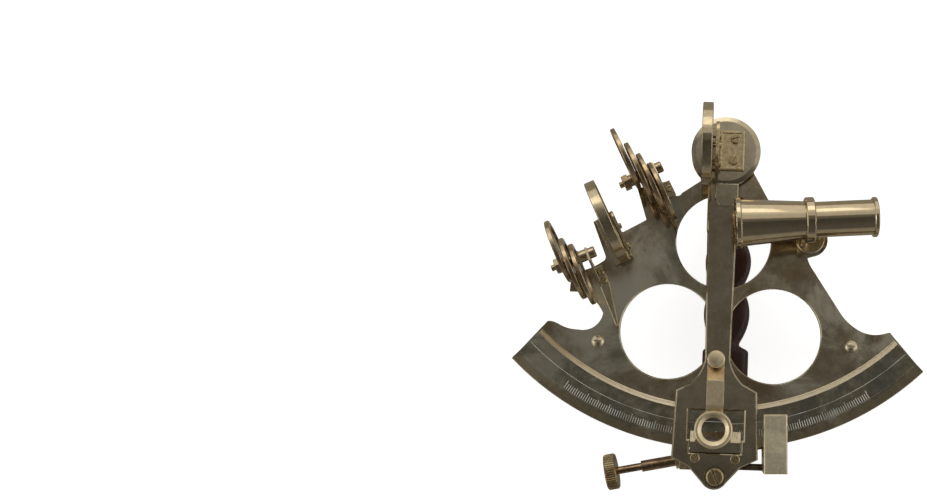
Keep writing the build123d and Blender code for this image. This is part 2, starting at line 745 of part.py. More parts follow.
def along_pin(shades, start, shape):
    """A round shape moved onto a set's pin, starting at a distance along it."""
    return shade_set_place(shades) * Pos(start, 0, shade_pin_height) * Rot(0, 90, 0) * shape


def shade_pins():
    """The two shade pins: a slotted head outside the bracket and a threaded tail."""
    pins = []
    for shades in (index_shades, horizon_shades):
        pin = Pos(0, 0, -1.6) * rod(shade_pin_radius, shade_pin_end + 1.6)
        head = rod(2.9, 3.6)
        head = chamfer(head.edges().group_by(Axis.Z)[-1], 0.4)
        head -= Pos(0, 0, 3.6) * Box(7, 0.8, 2.0)
        pins.append(along_pin(shades, 0, pin + Pos(0, 0, shade_pin_end) * head))
    return pins


def shade_nuts():
    """Hexagon nuts on the tails of the shade pins."""
    nuts = []
    for shades in (index_shades, horizon_shades):
        nut = extrude(RegularPolygon(4.3, 6) - Circle(shade_pin_radius + 0.02), 3.4)
        nut = chamfer(nut.edges().group_by(Axis.Z)[0], 0.3)
        nuts.append(along_pin(shades, 0.6, nut))
    return nuts


def shade_washers():
    """Friction washers beside every shade, and a spacer where a set has room left."""
    washers = []
    side_gap = 0.06
    for shades in (index_shades, horizon_shades):
        count = len(shades["leans"])
        start = 4.0
        for number in range(count + 1):
            centre = shade_first + number * shade_pitch
            end = centre - shade_thick / 2 - side_gap if number < count else shade_pin_end - 1.2
            washers.append(along_pin(shades, start, tube(3.1, shade_pin_radius + 0.02, end - start)))
            start = centre + shade_thick / 2 + side_gap
    return washers


def shade_bracket(shades):
    """An angle bracket: an upright that carries the pin, and a foot along the frame."""
    upright_start = shade_pin_end - 1.2
    outline = [(-19.0, 0), (-4.6, 0), (-4.6, 3.0), (3.4, 5.6), (3.4, 9.4), (-4.0, 11.0), (-9, 8.5)]
    outline = Plane.YZ * Polyline(*outline, close=True)
    upright = Pos(upright_start, 0, 0) * extrude(make_face(outline), 1.2)
    back = upright_start + shades["foot_width"]
    foot_end = -7.0 - shades["foot_length"]
    foot_face = Polyline(
        (upright_start, -7.0),
        (back, -7.0),
        (back, max(foot_end, -17.5)),
        (upright_start + shades["foot_tip"], foot_end - 0.01),
        (upright_start, foot_end - 0.01),
        close=True,
    )
    foot = plate_of(make_face(foot_face), 1.4)
    foot = chamfer(top_edges(foot), 0.3)
    hole = Pos(0, 0, shade_pin_height) * Rot(0, 90, 0) * rod(shade_pin_radius, 30)
    for y in shades["foot_screws"]:
        foot -= Pos(shade_pin_end + foot_screw_in, y, 0) * rod(small_stem, 2)
    return shade_set_place(shades) * (upright + foot - hole)


def bracket_screws():
    """Small slotted screws in the feet of the brackets that stand on the frame."""
    screws = []
    turns = [10, 80, 30, 60, 20]
    spots = []
    for shades in (index_shades, horizon_shades):
        for y in shades["foot_screws"]:
            place = shade_set_place(shades) * Pos(shade_pin_end + foot_screw_in, y, 1.4)
            spots.append(place)
    for spot in telescope_foot_spots:
        spots.append(Pos(*spot, frame_top + telescope_foot))
    for turn, place in zip(turns, spots):
        screws.append(place * Rot(0, 0, turn) * slotted_screw(1.8, 1.2, small_stem, 0.5, 0.6))
    return screws


def telescope_bracket():
    """The post from the frame's right lug up to the telescope's collar."""
    foot = Pos(46.6, -42.6, frame_top) * rod(7.6, telescope_foot)
    foot = chamfer(top_edges(foot), 0.5)
    for spot in telescope_foot_spots:
        foot -= Pos(*spot, frame_top) * rod(small_stem, 3)
    post = Pos(45.0, -38.6, frame_top) * Rot(0, 0, telescope_turn) * Box(5.0, 7.0, 17.0, align=bottom_centre)
    post = fillet(post.edges().filter_by(Axis.Z), 1.0)
    ring = telescope_place * Pos(0, 0, collar_start - 2) * rod(collar_radius, 12)
    return foot + post - ring


def telescope_collar():
    """The ring round the telescope's waist."""
    collar = rod(collar_radius, collar_length)
    collar = chamfer(collar.edges().filter_by(GeomType.CIRCLE), 0.5)
    collar -= rod(taper_end_radius, collar_length)
    return telescope_place * Pos(0, 0, collar_start) * collar


def telescope_tube():
    """The telescope's body: objective flange, tapering tube and the seat of the draw tube."""
    profile = Plane.XZ * Polyline(
        (flange_radius - 1.7, 0),
        (flange_radius - 0.5, 0),
        (flange_radius, 0.5),
        (flange_radius, flange_length - 0.5),
        (flange_radius - 0.5, flange_length),
        (taper_start_radius, flange_length),
        (taper_end_radius, collar_start),
        (taper_end_radius, collar_start + collar_length),
        (draw_radius + running_gap, collar_start + collar_length),
        (draw_radius + running_gap, 14.0),
        (flange_radius - 1.7, 4.0),
        close=True,
    )
    return telescope_place * revolve(make_face(profile), Axis.Z)


def lens(radius, bulge, thick):
    """A round lens with one domed face, standing on the XY plane."""
    ball_radius = (radius * radius + bulge * bulge) / (2 * bulge)
    return rod(radius, thick + bulge) & Pos(0, 0, thick + bulge - ball_radius) * Sphere(ball_radius)


def objective_lens():
    """The object glass in the telescope's flange."""
    glass = lens(flange_radius - 1.75, 1.0, 1.4)
    return telescope_place * Pos(0, 0, 3.4) * Rot(180, 0, 0) * glass


def eyepiece_tube():
    """The draw tube with its end rim."""
    end = draw_end + draw_rim_length
    profile = Plane.XZ * Polyline(
        (draw_radius - 0.9, 24.0),
        (draw_radius, 24.0),
        (draw_radius, draw_end),
        (draw_rim_radius - 0.4, draw_end),
        (draw_rim_radius, draw_end + 0.4),
        (draw_rim_radius, end - 0.4),
        (draw_rim_radius - 0.4, end),
        (6.6, end),
        (6.0, end - 1.0),
        (6.0, end - 2.0),
        (draw_radius - 0.9, end - 4.5),
        close=True,
    )
    return telescope_place * revolve(make_face(profile), Axis.Z)


def eyepiece_lens():
    """The small eye lens inside the rim."""
    glass = lens(draw_radius - 0.93, 1.2, 1.0)
    return telescope_place * Pos(0, 0, draw_end - 5.0) * glass


def sextant():
    """Every node of the sextant by name; a list is a group of separate solids."""
    nodes = {
        "frame_plate": frame_plate(),
        "limb_scale": limb_scale(),
        "pivot_bearing": pivot_bearing(),
        "limb_legs": limb_legs(),
        "pivot_leg": pivot_leg(),
        "frame_screws": frame_screws(),
        "handle_grip": handle_grip(),
        "handle_posts": handle_posts(),
        "horizon_mirror_bracket": horizon_mirror_bracket(),
        "horizon_mirror_cup": horizon_mirror_place * mirror_cup(),
        "horizon_mirror_glass": horizon_mirror_place * mirror_glass(),
        "horizon_mirror_adjusters": horizon_mirror_adjusters(),
        "bracket_screws": bracket_screws(),
        "index_shade_bracket": shade_bracket(index_shades),
        "horizon_shade_bracket": shade_bracket(horizon_shades),
        "shade_pins": shade_pins(),
        "shade_nuts": shade_nuts(),
        "shade_washers": shade_washers(),
        "telescope_bracket": telescope_bracket(),
        "telescope_collar": telescope_collar(),
        "telescope_tube": telescope_tube(),
        "objective_lens": objective_lens(),
        "eyepiece_tube": eyepiece_tube(),
        "eyepiece_lens": eyepiece_lens(),
        "index_arm": index_arm(),
        "pivot_disc": pivot_disc(),
        "pivot_shaft": pivot_shaft(),
        "pivot_retaining_screw": pivot_retaining_screw(),
        "index_mirror_bracket": index_mirror_bracket(),
        "index_mirror_cup": index_mirror_place * mirror_cup(),
        "index_mirror_glass": index_mirror_place * mirror_glass(),
        "index_mirror_adjusters": index_mirror_adjusters(),
        "arm_screws": arm_screws(),
        "vernier_scale": vernier_scale(),
        "tangent_block": tangent_block(),
        "tangent_block_screw": tangent_block_screw(),
        "magnifier_post": magnifier_post(),
        "magnifier_knob": magnifier_knob(),
        "magnifier_arm": magnifier_arm(),
        "magnifier_lens": magnifier_lens(),
        "tangent_screw": tangent_screw(),
        "tangent_knob": tangent_knob(),
        "tangent_nut": tangent_nut(),
        "clamp_block": clamp_block(),
        "clamp_guide_bar": clamp_guide_bar(),
        "clamp_screw": clamp_screw(),
    }
    for name, shades in (("index", index_shades), ("horizon", horizon_shades)):
        for number in range(len(shades["leans"])):
            place = shade_place(shades, number)
            nodes[f"{name}_shade_{number + 1}_frame"] = place * shade_frame()
            nodes[f"{name}_shade_{number + 1}_glass"] = place * shade_glass()
    return nodes


def main():
    os.makedirs("parts", exist_ok=True)
    for name, shape in sextant().items():
        solids = shape if isinstance(shape, list) else [shape]
        solids = [solid for part in solids for solid in part.solids()]
        export_step(Compound(children=solids), f"parts/{name}.step")
        print(name, len(solids))


main()
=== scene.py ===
import math

import bmesh
import bpy
from mathutils import Matrix, Vector


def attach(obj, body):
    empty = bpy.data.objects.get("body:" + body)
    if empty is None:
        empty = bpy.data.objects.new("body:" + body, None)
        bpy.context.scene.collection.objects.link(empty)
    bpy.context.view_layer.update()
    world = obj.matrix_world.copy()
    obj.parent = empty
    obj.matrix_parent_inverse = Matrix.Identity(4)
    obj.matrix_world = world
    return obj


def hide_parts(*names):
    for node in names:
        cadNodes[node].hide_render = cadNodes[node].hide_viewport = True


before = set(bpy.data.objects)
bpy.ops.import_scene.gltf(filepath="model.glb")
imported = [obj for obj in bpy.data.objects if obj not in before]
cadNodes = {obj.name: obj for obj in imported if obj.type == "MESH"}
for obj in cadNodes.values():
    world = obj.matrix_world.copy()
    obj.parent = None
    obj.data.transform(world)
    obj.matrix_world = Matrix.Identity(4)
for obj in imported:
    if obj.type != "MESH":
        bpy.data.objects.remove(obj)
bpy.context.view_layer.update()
scene = bpy.context.scene
mm = 0.001
for node in cadNodes.values():  # turned surfaces shade round, corners stay crisp
    node.data.shade_smooth()
    node.data.set_sharp_from_angle(angle=math.radians(30))
print("frame loaded:", len(cadNodes), "brass, wood and glass pieces")


# small node helpers, used by every finish below
def addNode(tree, kind, **settings):
    node = tree.nodes.new("ShaderNode" + kind)
    for name, value in settings.items():
        setattr(node, name, value)
    return node


def feed(tree, socket, source):  # source is a plain value or another node's output
    if isinstance(source, bpy.types.NodeSocket):
        tree.links.new(source, socket)
    else:
        socket.default_value = source


def calc(tree, operation, first, second=0.0, clamp=False):
    node = addNode(tree, "Math", operation=operation, use_clamp=clamp)
    feed(tree, node.inputs[0], first)
    feed(tree, node.inputs[1], second)
    return node.outputs[0]


def times(tree, first, second, clamp=False):
    return calc(tree, "MULTIPLY", first, second, clamp)


def plus(tree, first, second):
    return calc(tree, "ADD", first, second)


def minus(tree, first, second):
    return calc(tree, "SUBTRACT", first, second)


def spread(tree, value, low, high, toLow=0.0, toHigh=1.0):  # soft step from low to high
    node = addNode(tree, "MapRange", interpolation_type="SMOOTHSTEP")
    for socket, source in zip(node.inputs, (value, low, high, toLow, toHigh)):
        feed(tree, socket, source)
    return node.outputs[0]


def mixColour(tree, factor, first, second, mode="MIX"):
    node = addNode(tree, "Mix", data_type="RGBA", blend_type=mode)
    feed(tree, node.inputs[0], factor)
    feed(tree, node.inputs[6], first)
    feed(tree, node.inputs[7], second)
    return node.outputs[2]


def noise(tree, place, scale, detail=4.0, rough=0.55, twist=0.0):
    node = addNode(tree, "TexNoise")
    feed(tree, node.inputs["Vector"], place)
    for name, value in (("Scale", scale), ("Detail", detail), ("Roughness", rough), ("Distortion", twist)):
        feed(tree, node.inputs[name], value)
    return node.outputs[0]


# object coordinates, turned and stretched
def placed(tree, turn=(0, 0, 0), scale=(1, 1, 1), shift=(0, 0, 0)):
    coords = addNode(tree, "TexCoord").outputs["Object"]
    node = addNode(tree, "Mapping")
    feed(tree, node.inputs["Vector"], coords)
    node.inputs["Location"].default_value = shift
    node.inputs["Rotation"].default_value = [math.radians(a) for a in turn]
    node.inputs["Scale"].default_value = scale
    return node.outputs[0]


def newGroup(name, inputs, outputs):  # a shader group with named sockets
    tree = bpy.data.node_groups.new(name, "ShaderNodeTree")
    for label, value in inputs.items():
        socket = tree.interface.new_socket(label, in_out="INPUT", socket_type="NodeSocketFloat")
        socket.default_value = value
    for label, kind in outputs.items():
        tree.interface.new_socket(label, in_out="OUTPUT", socket_type="NodeSocket" + kind)
    return tree, tree.nodes.new("NodeGroupInput").outputs, tree.nodes.new("NodeGroupOutput").inputs


# drops a group in a material; values are given by socket name, _ for a space
def useGroup(tree, group, **values):
    node = tree.nodes.new("ShaderNodeGroup")
    node.node_tree = group
    for name, value in values.items():
        feed(tree, node.inputs[name.replace("_", " ")], value)
    return node.outputs


# worn edges and painted edge highlight: rounds the normal at corners and marks the edges, lightened as rubbed
# brass and as a painted highlight where they catch light
edgeWearAndHighlight, given, result = newGroup(
    "edgeWearAndHighlight", {"Radius": 0.4 * mm, "Breakup": 500.0, "Strength": 1.0}, {"Mask": "Float", "Normal": "Vector"}
)
rounded = addNode(edgeWearAndHighlight, "Bevel", samples=4)
feed(edgeWearAndHighlight, rounded.inputs["Radius"], given["Radius"])
facing = addNode(edgeWearAndHighlight, "NewGeometry").outputs["Normal"]
lean = addNode(edgeWearAndHighlight, "VectorMath", operation="DOT_PRODUCT")
feed(edgeWearAndHighlight, lean.inputs[0], rounded.outputs[0])
feed(edgeWearAndHighlight, lean.inputs[1], facing)
corner = spread(edgeWearAndHighlight, minus(edgeWearAndHighlight, 1.0, lean.outputs["Value"]), 0.004, 0.16)
chips = spread(edgeWearAndHighlight, noise(edgeWearAndHighlight, placed(edgeWearAndHighlight), given["Breakup"], 3.0), 0.25, 0.6, 0.35, 1.0)
feed(edgeWearAndHighlight, result["Mask"], times(edgeWearAndHighlight, times(edgeWearAndHighlight, corner, chips), given["Strength"], True))
feed(edgeWearAndHighlight, result["Normal"], rounded.outputs[0])

# tarnish: brown and blue clouds that drift over a piece, and a finer mottle under them
tarnish, given, result = newGroup(
    "tarnish",
    {"Scale": 30.0, "Brown Cover": 0.5, "Blue Cover": 0.4},
    {"Brown": "Float", "Blue": "Float", "Mottle": "Float", "Spots": "Float"},
)
clouds = noise(tarnish, placed(tarnish), given["Scale"], 7.0, 0.62, 0.8)
drift = placed(tarnish, (0, 0, 25), (1, 0.45, 1), (3, 1, 2))
streaks = noise(tarnish, drift, times(tarnish, given["Scale"], 1.7), 6.0, 0.6, 0.5)
brownEdge = minus(tarnish, 0.78, times(tarnish, given["Brown Cover"], 0.55))
blueEdge = minus(tarnish, 0.78, times(tarnish, given["Blue Cover"], 0.55))
feed(tarnish, result["Brown"], spread(tarnish, clouds, brownEdge, plus(tarnish, brownEdge, 0.17)))
feed(tarnish, result["Blue"], spread(tarnish, streaks, blueEdge, plus(tarnish, blueEdge, 0.2)))
mottle = noise(tarnish, placed(tarnish, shift=(5, 5, 5)), times(tarnish, given["Scale"], 6.0), 6.0, 0.7)
feed(tarnish, result["Mottle"], mottle)
specks = noise(tarnish, placed(tarnish), times(tarnish, given["Scale"], 28.0), 2.0, 0.5)
feed(tarnish, result["Spots"], spread(tarnish, specks, 0.66, 0.76))

# polishing marks: fine lines in two directions, a light orange peel, and what they do to the gloss
polishMarks, given, result = newGroup(
    "polishMarks", {"Fineness": 1.0, "Pitting": 0.3}, {"Gloss Break": "Float", "Height": "Float"}
)
size = given["Fineness"]
marksAlong = noise(polishMarks, placed(polishMarks, (0, 0, 78), (160, 3200, 900)), size, 2.0)
marksAcross = noise(polishMarks, placed(polishMarks, (0, 12, -20), (260, 4200, 900)), size, 2.0)
peel = noise(polishMarks, placed(polishMarks, shift=(1, 7, 3)), times(polishMarks, size, 420.0), 3.0)
pinholes = noise(polishMarks, placed(polishMarks), times(polishMarks, size, 1500.0), 1.0)
pits = spread(polishMarks, pinholes, 0.68, 0.8)
lines = plus(polishMarks, times(polishMarks, marksAlong, 0.5), times(polishMarks, marksAcross, 0.5))
feed(polishMarks, result["Gloss Break"],
     plus(polishMarks, times(polishMarks, lines, 0.5), times(polishMarks, peel, 0.5)))
pitted = times(polishMarks, pits, given["Pitting"])
relief = plus(polishMarks, times(polishMarks, peel, 0.75), times(polishMarks, lines, 0.25))
feed(polishMarks, result["Height"], minus(polishMarks, relief, pitted))

# grime and painted shade: darkening that settles in corners and round screw heads, found by occlusion where
# shade falls
cornerGrimeAndShade, given, result = newGroup("cornerGrimeAndShade", {"Reach": 2.5 * mm, "Amount": 0.7}, {"Mask": "Float"})
hollow = addNode(cornerGrimeAndShade, "AmbientOcclusion", samples=4)
feed(cornerGrimeAndShade, hollow.inputs["Distance"], given["Reach"])
shut = spread(cornerGrimeAndShade, minus(cornerGrimeAndShade, 1.0, hollow.outputs["AO"]), 0.3, 0.8)
patch = spread(cornerGrimeAndShade, noise(cornerGrimeAndShade, placed(cornerGrimeAndShade), 260.0, 4.0), 0.3, 0.65, 0.3, 1.0)
feed(cornerGrimeAndShade, result["Mask"], times(cornerGrimeAndShade, times(cornerGrimeAndShade, shut, patch), given["Amount"], True))

# dust and wipe marks on glass
glassDust, given, result = newGroup("glassDust", {"Scale": 300.0, "Amount": 0.5},
                                    {"Haze": "Float", "Specks": "Float"})
wipes = noise(glassDust, placed(glassDust, (20, 35, 50), (0.3, 1.4, 0.8)), given["Scale"], 5.0, 0.6, 1.2)
specks = noise(glassDust, placed(glassDust), times(glassDust, given["Scale"], 11.0), 1.0)
grit = spread(glassDust, specks, 0.7, 0.8)
feed(glassDust, result["Haze"], times(glassDust, spread(glassDust, wipes, 0.4, 0.75), given["Amount"]))
feed(glassDust, result["Specks"], times(glassDust, grit, given["Amount"]))

# wood figure along the grip, with short dark pores
woodFigure, given, result = newGroup(
    "woodFigure", {"Scale": 1.0, "Wander": 0.4}, {"Figure": "Float", "Pores": "Float", "Height": "Float"}
)
along = placed(woodFigure, (4, 0, 3), (150, 7, 110))
figure = noise(woodFigure, along, given["Scale"], 6.0, 0.6, given["Wander"])
fibre = noise(woodFigure, placed(woodFigure, (4, 0, 3), (1300, 30, 1300)), given["Scale"], 3.0)
dashes = noise(woodFigure, placed(woodFigure, (4, 0, 3), (1900, 120, 1900)), given["Scale"], 1.0)
pores = spread(woodFigure, dashes, 0.62, 0.72)
feed(woodFigure, result["Figure"],
     plus(woodFigure, times(woodFigure, figure, 0.75), times(woodFigure, fibre, 0.25)))
feed(woodFigure, result["Pores"], pores)
feed(woodFigure, result["Height"],
     minus(woodFigure, times(woodFigure, fibre, 0.3), times(woodFigure, pores, 0.6)))
print("wear, tarnish, polish, grime, dust and wood groups built")


def newMaterial(name):
    material = bpy.data.materials.new(name)
    material.use_nodes = True
    return material, material.node_tree, material.node_tree.nodes["Principled BSDF"]


def layOn(piece, material):
    cadNodes[piece].data.materials.clear()
    cadNodes[piece].data.materials.append(material)


# each brass finish starts from this one and changes a few of its values
plainBrass = {
    "base": (0.60, 0.50, 0.31),
    "deep": (0.46, 0.38, 0.23),  # the darker half of the mottle
    "brown": (0.27, 0.19, 0.10),
    "blue": (0.25, 0.27, 0.25),
    "wornHighlight": (0.86, 0.76, 0.53),  # rubbed edges, also a painted highlight
    # near-black for grime and painted shade in corners and hollows
    "grimeAndShade": (0.05, 0.035, 0.02),
    "scale": 30.0,
    "brownCover": 0.4,
    "blueCover": 0.3,
    "brownAmount": 0.7,
    "blueAmount": 0.5,
    "edgeRadius": 0.35 * mm,
    "edgeAmount": 0.7,
    "grimeShadeAmount": 0.75,
    "roughLow": 0.16,
    "roughHigh": 0.34,
    "fineness": 1.0,
    "pitting": 0.3,
    "bump": 0.06,
    "film": 0.25,
    "filmColour": (0.72, 0.66, 0.50),
    "edgeBreakup": 500.0,
    "grimeShadeReach": 2.5 * mm,
    "bumpDepth": 0.3 * mm,
    "bandInner": None,  # set only where a bright bevel runs round the piece
}


def brassFinish(name, **changes):
    look = {**plainBrass, **changes}
    material, tree, shader = newMaterial(name)
    wearAndHighlight = useGroup(tree, edgeWearAndHighlight, Radius=look["edgeRadius"], Breakup=look["edgeBreakup"],
                    Strength=look["edgeAmount"])
    clouds = useGroup(tree, tarnish, Scale=look["scale"], Brown_Cover=look["brownCover"],
                      Blue_Cover=look["blueCover"])
    marks = useGroup(tree, polishMarks, Fineness=look["fineness"], Pitting=look["pitting"])
    grimeAndShade = useGroup(tree, cornerGrimeAndShade, Reach=look["grimeShadeReach"], Amount=look["grimeShadeAmount"])
    mottle = spread(tree, clouds["Mottle"], 0.35, 0.68)
    colour = mixColour(tree, mottle, (*look["deep"], 1), (*look["base"], 1))
    colour = mixColour(tree, times(tree, clouds["Brown"], look["brownAmount"]), colour, (*look["brown"], 1))
    colour = mixColour(tree, times(tree, clouds["Blue"], look["blueAmount"]), colour, (*look["blue"], 1))
    colour = mixColour(tree, times(tree, clouds["Spots"], 0.35), colour, (*look["brown"], 1))
    smears = noise(tree, placed(tree, shift=(9, 2, 4)), look["scale"] * 0.7, 7.0, 0.62, 0.8)
    film = times(tree, spread(tree, smears, 0.48, 0.64), look["film"])
    colour = mixColour(tree, film, colour, (*look["filmColour"], 1))  # a pale film left by old polish
    clean = minus(tree, 1.0, grimeAndShade["Mask"])
    if look["bandInner"]:  # a painted highlight along the cut bevel round the limb
        across = addNode(tree, "VectorMath", operation="MULTIPLY")
        feed(tree, across.inputs[0], placed(tree))
        across.inputs[1].default_value = (1, 1, 0)
        reach = addNode(tree, "VectorMath", operation="LENGTH")
        feed(tree, reach.inputs[0], across.outputs[0])
        reach = reach.outputs["Value"]
        bevelHighlight = times(tree, spread(tree, reach, look["bandInner"], look["bandInner"] + 0.15 * mm),
                    spread(tree, reach, look["bandOuter"], look["bandOuter"] + 0.15 * mm, 1.0, 0.0))
        groove = times(tree, spread(tree, reach, look["bandGroove"] - 0.2 * mm, look["bandGroove"]),
                      spread(tree, reach, look["bandGroove"], look["bandGroove"] + 0.2 * mm, 1.0, 0.0))
        bevelHighlight = times(tree, bevelHighlight, minus(tree, 1.0, groove))
        bevelHighlight = times(tree, bevelHighlight, spread(tree, clouds["Mottle"], 0.3, 0.6, 0.85, 1.0))
        rimTint = times(tree, spread(tree, reach, look["rimFrom"], look["rimFrom"] + 1.5 * mm),
                        spread(tree, clouds["Mottle"], 0.3, 0.6, 0.35, 0.8))
        colour = mixColour(tree, rimTint, colour, (*look["rimColour"], 1))
        # the bevel's band laid on as a painted highlight
        colour = mixColour(tree, bevelHighlight, colour, (*look["bevelHighlightColour"], 1))
    # corners and hollows darkened, partly grime and partly painted shade
    colour = mixColour(tree, grimeAndShade["Mask"], colour, (*look["grimeAndShade"], 1))
    # edges lightened, partly rubbed brass and partly a painted highlight
    colour = mixColour(tree, times(tree, wearAndHighlight["Mask"], clean), colour, (*look["wornHighlight"], 1))
    feed(tree, shader.inputs["Base Color"], colour)
    dull = plus(tree, times(tree, marks["Gloss Break"], 0.55), times(tree, clouds["Brown"], 0.3))
    dull = plus(tree, dull, times(tree, clouds["Mottle"], 0.2))
    dull = plus(tree, dull, plus(tree, times(tree, grimeAndShade["Mask"], 0.8), times(tree, film, 0.9)))
    if look["bandInner"]:
        dull = plus(tree, dull, bevelHighlight)
    feed(tree, shader.inputs["Roughness"],
         spread(tree, dull, 0.25, 0.85, look["roughLow"], look["roughHigh"]))
    shader.inputs["Metallic"].default_value = 1.0
    bump = addNode(tree, "Bump")
    bump.inputs["Strength"].default_value = look["bump"]
    bump.inputs["Distance"].default_value = look["bumpDepth"]
    feed(tree, bump.inputs["Height"], marks["Height"])
    feed(tree, bump.inputs["Normal"], wearAndHighlight["Normal"])
    feed(tree, shader.inputs["Normal"], bump.outputs[0])
    return material


